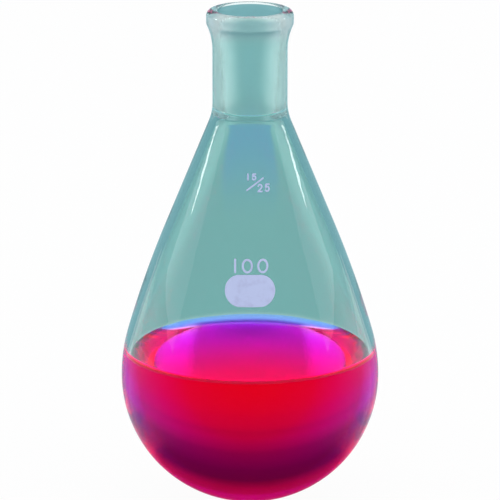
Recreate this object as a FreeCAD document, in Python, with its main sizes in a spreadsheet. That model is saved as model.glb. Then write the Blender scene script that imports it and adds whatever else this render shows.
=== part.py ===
import FreeCAD, Part
import math
import os

import Sketcher

# A recovery flask: one blown glass wall, turned about the Z axis, with a ground socket in
# its neck, a white enamel patch to write on, and a red liquid in the bulb.
# The mouth plane is z = 0 and the flask hangs below it. Lengths are millimetres, angles degrees.

SIZES = {
    # Ground socket 15/25: 15 wide at the mouth, 25 long, narrowing 1 in 10 on its diameter
    "socket_mouth_radius": 7.5,
    "socket_length": 25.0,
    "socket_taper": 10.0,
    # Neck outside the socket, and the bead that stands out round the mouth
    "neck_wall": 1.7,
    "bead_proud": 1.5,
    "bead_band": 1.55,
    "bead_curve_radius": 1.5,
    "bead_drop": 6.8,
    "neck_curve_radius": 13.0,
    # Inside step where the ground glass ends and the blown glass widens
    "flare_angle": 45.0,
    "flare_length": 1.2,
    "flare_lip_radius": 0.8,
    "flare_root_radius": 1.5,
    # Blown wall: a round bulb, a shoulder, a long flank and a straight cone
    "wall": 1.9,
    "bulb_radius": 32.0,
    "shoulder_radius": 41.0,
    "shoulder_turn": 16.2,
    "flank_radius": 270.0,
    "flank_turn": 6.2,
    # Liquid, from the inner pole to its flat surface, and its curved edge
    "liquid_depth": 35.7,
    "meniscus_rise": 1.2,
    "meniscus_reach": 3.0,
    # Enamel patch, as seen from the front, with its middle above the bulb's centre
    "patch_width": 12.2,
    "patch_height": 7.4,
    "patch_rise": 28.2,
    "enamel_film": 0.1,
}

WORKED_OUT = {
    # Socket, neck and rim
    "taper_slope": "0.5 / socket_taper",
    "taper_angle": "atan(taper_slope) / 1 deg",
    "socket_foot_radius": "socket_mouth_radius - socket_length * taper_slope",
    "neck_radius": "socket_mouth_radius + neck_wall",
    "bead_radius": "neck_radius + bead_proud",
    "rim_radius": "(neck_wall + bead_proud) / (1 + sqrt(1 + taper_slope ^ 2) - taper_slope)",
    "bead_band_depth": "rim_radius + bead_band",
    "bead_foot_depth": "bead_band_depth + bead_drop",
    "bead_foot_radius": "(bead_proud ^ 2 + bead_drop ^ 2) / (2 * bead_proud) - bead_curve_radius",
    # Where the inside step hands over to the inner face of the cone
    "cone_angle": "shoulder_turn + flank_turn",
    "cone_top_radius": "socket_foot_radius + flare_length * sin(flare_angle)"
                       " + flare_lip_radius * (cos(taper_angle) - cos(flare_angle))"
                       " + flare_root_radius * (cos(cone_angle) - cos(flare_angle))",
    "cone_top_depth": "socket_length + flare_length * cos(flare_angle)"
                      " + flare_lip_radius * (sin(flare_angle) + sin(taper_angle))"
                      " + flare_root_radius * (sin(flare_angle) - sin(cone_angle))",
    # Arc centres, from the bulb's centre, and the depth of that centre below the mouth
    "shoulder_centre_offset": "bulb_radius - shoulder_radius",
    "flank_centre_offset": "shoulder_centre_offset"
                           " - (flank_radius - shoulder_radius) * cos(shoulder_turn)",
    "flank_centre_drop": "(flank_radius - shoulder_radius) * sin(shoulder_turn)",
    "cone_foot_radius": "flank_centre_offset + (flank_radius - wall) * cos(cone_angle)",
    "cone_foot_rise": "(flank_radius - wall) * sin(cone_angle) - flank_centre_drop",
    "bulb_centre_depth": "cone_top_depth + cone_foot_rise"
                         " + (cone_foot_radius - cone_top_radius) / tan(cone_angle)",
    # Liquid
    "liquid_surface_depth": "bulb_centre_depth + bulb_radius - wall - liquid_depth",
    "liquid_edge_depth": "liquid_surface_depth - meniscus_rise",
    "meniscus_radius": "(meniscus_rise ^ 2 + meniscus_reach ^ 2) / (2 * meniscus_rise)",
    # Enamel patch: a stadium, two half rounds and the straight between them
    "patch_centre_depth": "bulb_centre_depth - patch_rise",
    "patch_end_radius": "patch_height / 2",
    "patch_end_across": "(patch_width - patch_height) / 2",
}

QUARTER_TURN = 90.0
HALF_TURN = 180.0
FULL_TURN = 360.0

# The numbers that a sketch gives a curve's points, and its own two axis lines and origin
START, END, CENTRE = range(1, 4)
MOUTH_LINE, AXIS = range(-1, -3, -1)
ORIGIN = (MOUTH_LINE, START)

document = FreeCAD.newDocument("recovery_flask")


def make_sheet():
    """Put the driving sizes, and those worked out from them, into one sheet."""
    cells = [(name, str(value)) for name, value in SIZES.items()]
    cells += [(name, "=" + formula) for name, formula in WORKED_OUT.items()]
    new_sheet = document.addObject("Spreadsheet::Sheet", "Sizes")
    for row, (name, content) in enumerate(cells, start=1):
        new_sheet.set(f"A{row}", name)
        new_sheet.set(f"B{row}", content)
        new_sheet.setAlias(f"B{row}", name)
    document.recompute()
    return new_sheet


sheet = make_sheet()


def size(name):
    """The value of one cell of the sheet."""
    return float(sheet.get(name))


def turned(centre, radius, angle):
    """The point of a circle that lies at an angle from its own horizontal."""
    angle = math.radians(angle)
    return (centre[0] + radius * math.cos(angle), centre[1] + radius * math.sin(angle))


def add_arc(sketch, centre, radius, start, end):
    """An arc that runs anticlockwise; a point is its distance from the axis and its height."""
    circle = Part.Circle(FreeCAD.Vector(*centre, 0), FreeCAD.Vector(0, 0, 1), radius)
    return sketch.addGeometry(Part.ArcOfCircle(circle, math.radians(start), math.radians(end)))


def add_line(sketch, start, end):
    """A straight line between two points."""
    return sketch.addGeometry(Part.LineSegment(FreeCAD.Vector(*start, 0), FreeCAD.Vector(*end, 0)))


def constrain(sketch, *terms):
    """Add a constraint that holds no dimension."""
    sketch.addConstraint(Sketcher.Constraint(*terms))


def smooth(sketch, first, first_point, second, second_point):
    """Join two ends so that one curve runs into the other."""
    constrain(sketch, "Tangent", first, first_point, second, second_point)


def touch(sketch, first, first_point, second, second_point):
    """Join two ends at a corner."""
    constrain(sketch, "Coincident", first, first_point, second, second_point)


def bind(sketch, name, formula, *terms):
    """Add a dimension that follows a formula of the sheet's sizes."""
    index = sketch.addConstraint(Sketcher.Constraint(*terms))
    sketch.renameConstraint(index, name)
    sketch.setExpression("Constraints." + name, formula)


def bind_radius(sketch, name, formula, arc, value):
    """Bind an arc's radius."""
    bind(sketch, name, formula, "Radius", arc, value)


def bind_turn(sketch, name, formula, arc, value):
    """Bind the angle that an arc spans."""
    bind(sketch, name, formula, "Angle", arc, math.radians(value))


def bind_across(sketch, name, formula, curve, point, value):
    """Bind how far a point lies out from the axis."""
    bind(sketch, name, formula, "DistanceX", *ORIGIN, curve, point, value)


def bind_depth(sketch, name, formula, curve, point, value):
    """Bind how far a point lies below the mouth plane."""
    bind(sketch, name, formula, "DistanceY", curve, point, *ORIGIN, value)


def wall_arcs(offset):
    """Name, centre, radius and end angles of the bulb, shoulder and flank, pushed out by offset."""
    middle = -size("bulb_centre_depth")
    flank_middle = middle - size("flank_centre_drop")
    shoulder_end = size("shoulder_turn")
    return [
        ("bulb", (0.0, middle), size("bulb_radius") + offset, -QUARTER_TURN, 0.0),
        ("shoulder", (size("shoulder_centre_offset"), middle), size("shoulder_radius") + offset,
         0.0, shoulder_end),
        ("flank", (size("flank_centre_offset"), flank_middle), size("flank_radius") + offset,
         shoulder_end, size("cone_angle")),
    ]


def wall_pole(offset):
    """The lowest point of a face of the wall, on the axis."""
    name, centre, radius, start, end = wall_arcs(offset)[0]
    return (0.0, centre[1] - radius)


def cone_foot(offset):
    """The point where the flank runs into the straight cone."""
    name, centre, radius, start, end = wall_arcs(offset)[-1]
    return turned(centre, radius, end)


def draw_wall(sketch, face, offset, offset_formula, top=None):
    """Draw one face of the blown wall, from its pole up through bulb, shoulder and flank.

    The face lies offset outside the glass. It ends where the cone begins, or at the height
    top if that is given. Returns the curves that it drew, lowest first.
    """
    curves = []
    for name, centre, radius, start, end in wall_arcs(offset):
        is_last = top is not None and top <= turned(centre, radius, end)[1]
        if is_last:
            end = math.degrees(math.asin((top - centre[1]) / radius))
        arc = add_arc(sketch, centre, radius, start, end)
        bind_radius(sketch, f"{face}_{name}_radius", f"Sizes.{name}_radius{offset_formula}", arc, radius)
        if name == "bulb":
            constrain(sketch, "PointOnObject", arc, CENTRE, AXIS)
            constrain(sketch, "PointOnObject", arc, START, AXIS)
            bind_depth(sketch, f"{face}_centre_depth", "Sizes.bulb_centre_depth", arc, CENTRE, -centre[1])
        else:
            smooth(sketch, curves[-1], END, arc, START)
        if name == "shoulder":
            constrain(sketch, "Horizontal", curves[-1], CENTRE, arc, CENTRE)
        curves.append(arc)
        if is_last:
            bind_depth(sketch, f"{face}_top_depth", "Sizes.liquid_edge_depth", arc, END, -top)
            break
        if name != "bulb":
            bind_turn(sketch, f"{face}_{name}_turn", f"Sizes.{name}_turn", arc, end - start)
    return curves


def close_outline(sketch, first, first_point, last, last_point, start, end):
    """Close an outline with a straight line between two of its ends."""
    line = add_line(sketch, start, end)
    touch(sketch, first, first_point, line, START)
    touch(sketch, last, last_point, line, END)


def make_body(name):
    """A named body with an empty sketch on its upright plane."""
    body = document.addObject("PartDesign::Body", name)
    body.Label = name
    sketch = body.newObject("Sketcher::SketchObject", name + "_outline")
    plane = next(item for item in body.Origin.OriginFeatures if item.Role == "XZ_Plane")
    sketch.AttachmentSupport = [(plane, "")]
    sketch.MapMode = "FlatFace"
    return body, sketch


def turn_body(body, sketch):
    """Turn a closed outline once round the axis."""
    turning = body.newObject("PartDesign::Revolution", body.Name + "_turned")
    turning.Profile = sketch
    turning.ReferenceAxis = (sketch, ["V_Axis"])
    turning.Angle = FULL_TURN
    body.Tip = turning
    body.Placement = FreeCAD.Placement()
    return body


def draw_neck_outside(sketch):
    """Draw the cone, the neck's curve, the neck, the bead's foot, its lip and its upright band.

    Returns the cone's line and the band's line.
    """
    angle = size("cone_angle")
    neck = size("neck_radius")
    bead = size("bead_radius")
    low = cone_foot(0.0)
    corner = low[1] + (low[0] - neck) / math.tan(math.radians(angle))
    curve_radius = size("neck_curve_radius")
    neck_foot = corner + curve_radius * math.tan(math.radians(angle / 2))
    curve_centre = (neck + curve_radius, neck_foot)
    foot_radius = size("bead_foot_radius")
    foot_centre = (neck + foot_radius, -size("bead_foot_depth"))
    lip_radius = size("bead_curve_radius")
    lip_centre = (bead - lip_radius, -size("bead_band_depth"))
    sweep = math.degrees(math.asin(size("bead_drop") / (foot_radius + lip_radius)))

    cone = add_line(sketch, low, turned(curve_centre, curve_radius, HALF_TURN + angle))
    curve = add_arc(sketch, curve_centre, curve_radius, HALF_TURN, HALF_TURN + angle)
    neck_line = add_line(sketch, (neck, neck_foot), (neck, foot_centre[1]))
    foot = add_arc(sketch, foot_centre, foot_radius, HALF_TURN - sweep, HALF_TURN)
    lip = add_arc(sketch, lip_centre, lip_radius, -sweep, 0.0)
    band = add_line(sketch, (bead, lip_centre[1]), (bead, -size("rim_radius")))

    smooth(sketch, cone, END, curve, END)
    smooth(sketch, curve, START, neck_line, START)
    smooth(sketch, neck_line, END, foot, END)
    smooth(sketch, foot, START, lip, START)
    smooth(sketch, lip, END, band, START)
    constrain(sketch, "Vertical", neck_line)
    constrain(sketch, "Vertical", band)
    bind_radius(sketch, "neck_curve", "Sizes.neck_curve_radius", curve, curve_radius)
    bind_radius(sketch, "bead_curve", "Sizes.bead_curve_radius", lip, lip_radius)
    bind_across(sketch, "neck_across", "Sizes.neck_radius", neck_line, END, neck)
    bind_across(sketch, "bead_across", "Sizes.bead_radius", band, START, bead)
    bind_depth(sketch, "bead_foot", "Sizes.bead_foot_depth", neck_line, END, -foot_centre[1])
    bind_depth(sketch, "bead_band", "Sizes.bead_band_depth", band, START, -lip_centre[1])
    return cone, band


def draw_socket(sketch, band):
    """Draw the round rim, the ground socket and the step below it, down to the inner cone.

    Returns the inner cone's line.
    """
    rim = size("rim_radius")
    rim_centre = (size("bead_radius") - rim, -rim)
    taper = size("taper_angle")
    angle = size("cone_angle")
    flare_angle = size("flare_angle")
    socket_foot = (size("socket_foot_radius"), -size("socket_length"))
    lip = size("flare_lip_radius")
    lip_centre = turned(socket_foot, lip, -taper)
    root = size("flare_root_radius")
    cone_top = (size("cone_top_radius"), -size("cone_top_depth"))
    root_centre = turned(cone_top, root, HALF_TURN + angle)

    rim_arc = add_arc(sketch, rim_centre, rim, 0.0, HALF_TURN - taper)
    ground = add_line(sketch, turned(rim_centre, rim, HALF_TURN - taper), socket_foot)
    lip_arc = add_arc(sketch, lip_centre, lip, HALF_TURN - taper, HALF_TURN + flare_angle)
    flare = add_line(sketch, turned(lip_centre, lip, HALF_TURN + flare_angle),
                     turned(root_centre, root, flare_angle))
    root_arc = add_arc(sketch, root_centre, root, angle, flare_angle)
    cone = add_line(sketch, cone_top, cone_foot(-size("wall")))

    smooth(sketch, band, END, rim_arc, START)
    smooth(sketch, rim_arc, END, ground, START)
    smooth(sketch, ground, END, lip_arc, START)
    smooth(sketch, lip_arc, END, flare, START)
    smooth(sketch, flare, END, root_arc, END)
    smooth(sketch, root_arc, START, cone, START)
    constrain(sketch, "Tangent", rim_arc, MOUTH_LINE)
    bind_radius(sketch, "rim_radius", "Sizes.rim_radius", rim_arc, rim)
    bind_radius(sketch, "flare_lip", "Sizes.flare_lip_radius", lip_arc, lip)
    bind_radius(sketch, "flare_root", "Sizes.flare_root_radius", root_arc, root)
    bind_turn(sketch, "flare_turn", "Sizes.flare_angle + Sizes.taper_angle", lip_arc, flare_angle + taper)
    bind_across(sketch, "socket_foot_across", "Sizes.socket_foot_radius", ground, END, socket_foot[0])
    bind_depth(sketch, "socket_foot_depth", "Sizes.socket_length", ground, END, -socket_foot[1])
    return cone


def make_flask():
    """The glass: one closed outline of its wall, turned round the axis."""
    body, sketch = make_body("flask")
    wall = size("wall")
    outside = draw_wall(sketch, "outer", 0.0, "")
    outer_cone, band = draw_neck_outside(sketch)
    smooth(sketch, outside[-1], END, outer_cone, START)
    inner_cone = draw_socket(sketch, band)
    inside = draw_wall(sketch, "inner", -wall, " - Sizes.wall")
    smooth(sketch, inside[-1], END, inner_cone, END)
    close_outline(sketch, outside[0], START, inside[0], START, wall_pole(0.0), wall_pole(-wall))
    return turn_body(body, sketch)


def make_liquid():
    """The liquid: the bulb's inner face up to its edge, a curved rim and a flat surface."""
    body, sketch = make_body("red_liquid")
    wall = size("wall")
    edge_height = -size("liquid_edge_depth")
    surface = -size("liquid_surface_depth")
    wetted = draw_wall(sketch, "wetted", -wall, " - Sizes.wall", top=edge_height)
    name, centre, radius, start, end = wall_arcs(-wall)[len(wetted) - 1]
    edge_across = centre[0] + math.sqrt(radius ** 2 - (edge_height - centre[1]) ** 2)
    reach = size("meniscus_reach")
    flat_edge = (edge_across - reach, surface)
    rim_radius = size("meniscus_radius")
    rim_end = math.degrees(math.asin(reach / rim_radius)) - QUARTER_TURN

    rim = add_arc(sketch, (flat_edge[0], surface + rim_radius), rim_radius, -QUARTER_TURN, rim_end)
    flat = add_line(sketch, flat_edge, (0.0, surface))
    touch(sketch, wetted[-1], END, rim, END)
    smooth(sketch, rim, START, flat, START)
    constrain(sketch, "Horizontal", flat)
    constrain(sketch, "PointOnObject", flat, END, AXIS)
    bind_depth(sketch, "surface_depth", "Sizes.liquid_surface_depth", flat, END, -surface)
    bind(sketch, "meniscus_reach", "Sizes.meniscus_reach", "DistanceX", rim, START, rim, END, reach)
    close_outline(sketch, wetted[0], START, flat, END, wall_pole(-wall), (0.0, surface))
    return turn_body(body, sketch)


def upright_sketch(name):
    """A free sketch that stands on the XZ plane."""
    sketch = document.addObject("Sketcher::SketchObject", name)
    upright = FreeCAD.Rotation(FreeCAD.Vector(1, 0, 0), QUARTER_TURN)
    sketch.Placement = FreeCAD.Placement(FreeCAD.Vector(0, 0, 0), upright)
    return sketch


def draw_coat_face(sketch, face, offset, offset_formula):
    """Draw one face of a coat on the glass, from its pole to the depth of the socket's foot.

    Returns its lowest and highest curves and its highest point.
    """
    curves = draw_wall(sketch, face, offset, offset_formula)
    low = cone_foot(offset)
    top = -size("socket_length")
    high = (low[0] - (top - low[1]) * math.tan(math.radians(size("cone_angle"))), top)
    cone = add_line(sketch, low, high)
    smooth(sketch, curves[-1], END, cone, START)
    bind_depth(sketch, face + "_top", "Sizes.socket_length", cone, END, -top)
    return curves[0], cone, high


def make_coat():
    """A thin coat of enamel all over the outside of the bulb, flank and cone."""
    sketch = upright_sketch("coat_outline")
    film = size("enamel_film")
    glass_pole, glass_cone, glass_top = draw_coat_face(sketch, "glass", 0.0, "")
    coat_pole, coat_cone, coat_top = draw_coat_face(sketch, "coat", film, " + Sizes.enamel_film")
    close_outline(sketch, coat_pole, START, glass_pole, START, wall_pole(film), wall_pole(0.0))
    close_outline(sketch, glass_cone, END, coat_cone, END, glass_top, coat_top)
    coat = document.addObject("Part::Revolution", "coat")
    coat.Source = sketch
    coat.Axis = FreeCAD.Vector(0, 0, 1)
    coat.Base = FreeCAD.Vector(0, 0, 0)
    coat.Angle = FULL_TURN
    coat.Solid = True
    return coat


def make_patch_block():
    """A block with the patch's stadium outline, from the axis to the front of the flask."""
    sketch = upright_sketch("patch_outline")
    radius = size("patch_end_radius")
    across = size("patch_end_across")
    middle = -size("patch_centre_depth")
    right_centre = (across, middle)
    left_centre = (-across, middle)
    right = add_arc(sketch, right_centre, radius, -QUARTER_TURN, QUARTER_TURN)
    left = add_arc(sketch, left_centre, radius, QUARTER_TURN, HALF_TURN + QUARTER_TURN)
    upper = add_line(sketch, turned(right_centre, radius, QUARTER_TURN),
                     turned(left_centre, radius, QUARTER_TURN))
    lower = add_line(sketch, turned(left_centre, radius, -QUARTER_TURN),
                     turned(right_centre, radius, -QUARTER_TURN))
    smooth(sketch, right, END, upper, START)
    smooth(sketch, upper, END, left, START)
    smooth(sketch, left, END, lower, START)
    smooth(sketch, lower, END, right, START)
    constrain(sketch, "Horizontal", upper)
    constrain(sketch, "Equal", left, right)
    bind_radius(sketch, "end_radius", "Sizes.patch_end_radius", right, radius)
    bind_across(sketch, "right_across", "Sizes.patch_end_across", right, CENTRE, across)
    bind(sketch, "left_across", "Sizes.patch_end_across", "DistanceX", left, CENTRE, *ORIGIN, across)
    bind_depth(sketch, "centre_depth", "Sizes.patch_centre_depth", right, CENTRE, -middle)
    block = document.addObject("Part::Extrusion", "patch_block")
    block.Base = sketch
    block.DirMode = "Custom"
    block.Dir = FreeCAD.Vector(0, -1, 0)
    block.setExpression("LengthFwd", "Sizes.bulb_radius + Sizes.enamel_film")
    block.Solid = True
    return block


def make_writing_patch():
    """The writing patch: the part of the coat that lies within the stadium."""
    patch = document.addObject("Part::Common", "writing_patch")
    patch.Label = "writing_patch"
    patch.Base = make_coat()
    patch.Tool = make_patch_block()
    patch.Placement = FreeCAD.Placement()
    return patch


def check_document():
    """Stop if a sketch is loose or an object of the document failed."""
    for item in document.Objects:
        if "Invalid" in item.State or "Error" in item.State:
            raise RuntimeError(f"{item.Name} failed: {item.State}")
        if item.TypeId == "Sketcher::SketchObject" and not item.FullyConstrained:
            raise RuntimeError(f"{item.Name} is not fully constrained")


def write_piece(piece):
    """Check one piece's solid and write it under its own name."""
    shape = piece.Shape
    if shape.isNull() or not shape.isValid():
        raise RuntimeError(f"{piece.Label} has no valid solid")
    shape.exportStep(f"parts/{piece.Label}.step")
    box = shape.BoundBox
    print(f"{piece.Label}: {len(shape.Solids)} solid, {shape.Volume:.1f} mm3,"
          f" {box.XLength:.2f} x {box.YLength:.2f} x {box.ZLength:.2f} mm")


pieces = [make_flask(), make_liquid(), make_writing_patch()]
document.recompute()
check_document()
os.makedirs("parts", exist_ok=True)
for piece in pieces:
    write_piece(piece)
print(f"overall height {size('bulb_centre_depth') + size('bulb_radius'):.2f} mm")
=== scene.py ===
# %% [markdown]
# # A recovery flask, half full of red liquid
#
# The flask is one blown wall of laboratory glass with a ground socket in its neck, a few
# white enamel marks and a bulb of dyed water. Its sizes come from the CAD model, which
# loads first as a fixed frame. Each later cell makes one piece or one finish round it.

import math

import bpy
import numpy as np
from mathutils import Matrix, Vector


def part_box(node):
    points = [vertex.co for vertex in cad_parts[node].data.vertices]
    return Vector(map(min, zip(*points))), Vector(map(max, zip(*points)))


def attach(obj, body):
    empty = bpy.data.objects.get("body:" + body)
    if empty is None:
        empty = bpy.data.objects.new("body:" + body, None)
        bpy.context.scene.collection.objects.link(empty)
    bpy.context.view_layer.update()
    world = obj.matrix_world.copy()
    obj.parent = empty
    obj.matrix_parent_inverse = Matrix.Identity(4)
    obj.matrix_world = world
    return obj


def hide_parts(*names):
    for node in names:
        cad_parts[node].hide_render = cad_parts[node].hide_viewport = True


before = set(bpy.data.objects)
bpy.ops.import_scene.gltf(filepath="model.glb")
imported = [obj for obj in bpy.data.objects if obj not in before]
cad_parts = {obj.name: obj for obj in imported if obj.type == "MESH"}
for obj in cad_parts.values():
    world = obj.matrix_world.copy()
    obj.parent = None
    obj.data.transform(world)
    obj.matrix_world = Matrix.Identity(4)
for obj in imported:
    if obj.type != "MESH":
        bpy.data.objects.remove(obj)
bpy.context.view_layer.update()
scene = bpy.context.scene
print("nodes:", sorted(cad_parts))

# %% [markdown]
# ## The outline of the wall
#
# A glass blower turns the flask in a lathe, so one outline turned round the axis is the
# whole shape. It could be traced point by point, but then each curve would have small
# flats that the glass shows up. Here it is built from the same arcs and straight lines as
# the CAD model, each given by a centre, a radius and two angles, so it stays smooth.

# %% Sizes of the wall, in millimetres from the mouth plane
MM = 0.001
WALL = 1.9
BULB_RADIUS = 32.0
BULB_DEPTH = round(-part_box("flask")[0][2] / MM - BULB_RADIUS, 4)
SHOULDER_RADIUS, SHOULDER_TURN = 41.0, 16.2
FLANK_RADIUS, CONE_ANGLE = 270.0, 22.4
NECK_RADIUS, NECK_CURVE = 9.2, 13.0
BEAD_RADIUS, BEAD_CURVE = 10.7, 1.5
BEAD_BAND_DEPTH, BEAD_FOOT_DEPTH, BEAD_FOOT_RADIUS = 3.19, 9.99, 14.6633
RIM_RADIUS, TAPER = 1.64, 2.8624
SOCKET_LENGTH, SOCKET_FOOT_RADIUS = 25.0, 6.25
FLARE_ANGLE, FLARE_LIP, FLARE_ROOT = 45.0, 0.8, 1.5
CONE_TOP_RADIUS, CONE_TOP_DEPTH = 7.658, 26.9432
SHOULDER_LIMIT = 30.0
LIQUID_FILL, LIQUID_CLIMB = 35.7, 1.2
LIQUID_DEPTH = BULB_DEPTH + BULB_RADIUS - WALL - LIQUID_FILL
LIQUID_EDGE = LIQUID_DEPTH - LIQUID_CLIMB

shoulder_centre = (BULB_RADIUS - SHOULDER_RADIUS, -BULB_DEPTH)
flank_reach = FLANK_RADIUS - SHOULDER_RADIUS
flank_centre = (shoulder_centre[0] - flank_reach * math.cos(math.radians(SHOULDER_TURN)),
                -BULB_DEPTH - flank_reach * math.sin(math.radians(SHOULDER_TURN)))
print("centres of shoulder and flank:", np.round([shoulder_centre, flank_centre], 3).tolist())


# %% Arcs and lines as arrays of points
def arc(centre, radius, start, end, step=2.0):
    """Points of an arc: the centre plus the radius times (cosine, sine) of evenly spaced angles."""
    count = max(3, int(abs(end - start) / step) + 2)
    angles = np.radians(np.linspace(start, end, count))
    return np.column_stack([centre[0] + radius * np.cos(angles),
                            centre[1] + radius * np.sin(angles)])


def line(start, end, step=1.6):
    """Points of a straight line: the start plus even shares of the way to the end."""
    start, end = np.array(start), np.array(end)
    count = max(2, int(np.linalg.norm(end - start) / step) + 2)
    return start + (end - start) * np.linspace(0.0, 1.0, count)[:, None]


def joined(*runs):
    """One outline from several runs, with each point that repeats the one before it left out."""
    points = np.vstack(runs)
    apart = np.linalg.norm(np.diff(points, axis=0), axis=1) > 1e-4
    return points[np.concatenate([[True], apart])]


def wall_face(offset):
    """Bulb, shoulder and flank of one face of the wall, each radius pushed out by the offset."""
    return joined(
        arc((0.0, -BULB_DEPTH), BULB_RADIUS + offset, -90.0, 0.0, 1.5),
        arc(shoulder_centre, SHOULDER_RADIUS + offset, 0.0, SHOULDER_TURN, 1.2),
        arc(flank_centre, FLANK_RADIUS + offset, SHOULDER_TURN, CONE_ANGLE, 0.3),
    )


def wall_radius(height, offset=0.0):
    """Radius of a face of the blown wall at a height above the bulb's middle.

    Below the shoulder's end it is the shoulder's centre plus the root of its radius squared
    less the height squared, then the same for the flank, then the straight cone. All three
    are worked out for every height, so the shoulder's is held at a limit that keeps its
    root real.
    """
    up = height + BULB_DEPTH
    held = np.minimum(up, SHOULDER_LIMIT)
    shoulder = shoulder_centre[0] + np.sqrt((SHOULDER_RADIUS + offset) ** 2 - held ** 2)
    drop = -BULB_DEPTH - flank_centre[1]
    flank = flank_centre[0] + np.sqrt((FLANK_RADIUS + offset) ** 2 - (up + drop) ** 2)
    foot = (FLANK_RADIUS + offset) * np.array([math.cos(math.radians(CONE_ANGLE)),
                                               math.sin(math.radians(CONE_ANGLE))])
    cone = flank_centre[0] + foot[0] - (up + drop - foot[1]) * math.tan(math.radians(CONE_ANGLE))
    turn = (SHOULDER_RADIUS + offset) * math.sin(math.radians(SHOULDER_TURN))
    return np.where(up < turn, shoulder, np.where(up + drop < foot[1], flank, cone))


def wall_outline():
    """The closed outline of the wall, from the outer pole to the inner one.

    On the way it passes the bulb, cone, neck, bead, rim, ground socket and the step inside.
    """
    cone_angle, taper = math.radians(CONE_ANGLE), math.radians(TAPER)
    outside, inside = wall_face(0.0), wall_face(-WALL)
    corner = outside[-1][1] + (outside[-1][0] - NECK_RADIUS) / math.tan(cone_angle)
    neck_foot = corner + NECK_CURVE * math.tan(math.radians(CONE_ANGLE / 2))
    curve = arc((NECK_RADIUS + NECK_CURVE, neck_foot), NECK_CURVE, 180.0 + CONE_ANGLE, 180.0, 1.5)
    lip_centre = (BEAD_RADIUS - BEAD_CURVE, -BEAD_BAND_DEPTH)
    foot_centre = (NECK_RADIUS + BEAD_FOOT_RADIUS, -BEAD_FOOT_DEPTH)
    rise = (BEAD_FOOT_DEPTH - BEAD_BAND_DEPTH) / (BEAD_FOOT_RADIUS + BEAD_CURVE)
    sweep = math.degrees(math.asin(rise))
    bead_foot = arc(foot_centre, BEAD_FOOT_RADIUS, 180.0, 180.0 - sweep, 1.5)
    lip = arc(lip_centre, BEAD_CURVE, -sweep, 0.0, 4.0)
    rim = arc((BEAD_RADIUS - RIM_RADIUS, -RIM_RADIUS), RIM_RADIUS, 0.0, 180.0 - TAPER, 6.0)
    socket_foot = (SOCKET_FOOT_RADIUS, -SOCKET_LENGTH)
    ground = line(rim[-1], socket_foot)
    step_centre = (socket_foot[0] + FLARE_LIP * math.cos(taper),
                   socket_foot[1] - FLARE_LIP * math.sin(taper))
    step = arc(step_centre, FLARE_LIP, 180.0 - TAPER, 180.0 + FLARE_ANGLE, 6.0)
    root_centre = (CONE_TOP_RADIUS - FLARE_ROOT * math.cos(cone_angle),
                   -CONE_TOP_DEPTH - FLARE_ROOT * math.sin(cone_angle))
    root = arc(root_centre, FLARE_ROOT, FLARE_ANGLE, CONE_ANGLE, 6.0)
    return joined(
        outside, line(outside[-1], curve[0]), curve, line(curve[-1], bead_foot[0]), bead_foot, lip,
        line(lip[-1], rim[0], 0.8), rim, ground, step, line(step[-1], root[0], 0.5), root,
        line(root[-1], inside[-1]), inside[::-1])


outline = wall_outline()
print(f"outline: {len(outline)} points, {-outline[:, 1].min():.2f} mm high, "
      f"{outline[:, 0].max():.2f} mm radius")

# %% [markdown]
# ## From an outline to a turned mesh
#
# Blender's Spin tool or its Screw modifier could turn the outline. A grid worked out with
# numpy does it in one step and closes the two poles with fans, so no seam and no doubled
# point is left for the light to catch on.

# %% Turn an outline round the axis
AROUND = 240


def new_piece(name, points, faces, body="root"):
    """A smooth mesh object at the origin, from points in millimetres, that rides on a body."""
    mesh = bpy.data.meshes.new(name)
    mesh.from_pydata((np.asarray(points) * MM).tolist(), [], faces)
    mesh.update()
    mesh.shade_smooth()
    piece = bpy.data.objects.new(name, mesh)
    scene.collection.objects.link(piece)
    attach(piece, body)
    print(f"{name}: {len(mesh.vertices)} points, {len(faces)} faces")
    return piece


def turned_grid(profile, around=AROUND):
    """Points and faces of a turned form that starts and ends on the axis.

    A point at radius r, height z and angle a is (r cos a, r sin a, z). The two end points of
    the profile become single poles, each closed with a fan of triangles.
    """
    angles = np.linspace(0.0, 2.0 * math.pi, around, endpoint=False)
    middle = profile[1:-1]
    ring_x = middle[:, :1] * np.cos(angles)
    ring_y = middle[:, :1] * np.sin(angles)
    ring_z = np.repeat(middle[:, 1:], around, axis=1)
    rings = np.stack([ring_x, ring_y, ring_z], axis=-1).reshape(-1, 3)
    poles = np.array([[0.0, 0.0, profile[0][1]], [0.0, 0.0, profile[-1][1]]])
    rows = np.arange(len(middle) - 1)[:, None] * around
    here = np.arange(around)
    beside = (here + 1) % around
    quads = np.stack([rows + here, rows + beside, rows + around + beside, rows + around + here],
                     axis=-1)
    last = (len(middle) - 1) * around
    first_pole = len(rings)
    first_fan = np.stack([np.full(around, first_pole), beside, here], axis=-1)
    last_fan = np.stack([np.full(around, first_pole + 1), last + here, last + beside], axis=-1)
    faces = quads.reshape(-1, 4).tolist() + first_fan.tolist() + last_fan.tolist()
    return np.vstack([rings, poles]), faces


# %% [markdown]
# ## The glass
#
# The CAD flask has the right shape but only one finish. Its stand-in is a single closed
# shell, outside and inside in one, because light bends at both faces of a real wall. The
# faces of the bore down to the foot of the socket take a second, ground finish.

# %% Make the glass shell
glass = new_piece("flask_glass", *turned_grid(outline))
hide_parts("flask")

# %% Tell the zones of the glass apart
GROUND_TOP = 0.4
GROUND, WET_OUTSIDE, WET_INSIDE, DRY_INSIDE = 1, 2, 3, 4


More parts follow.
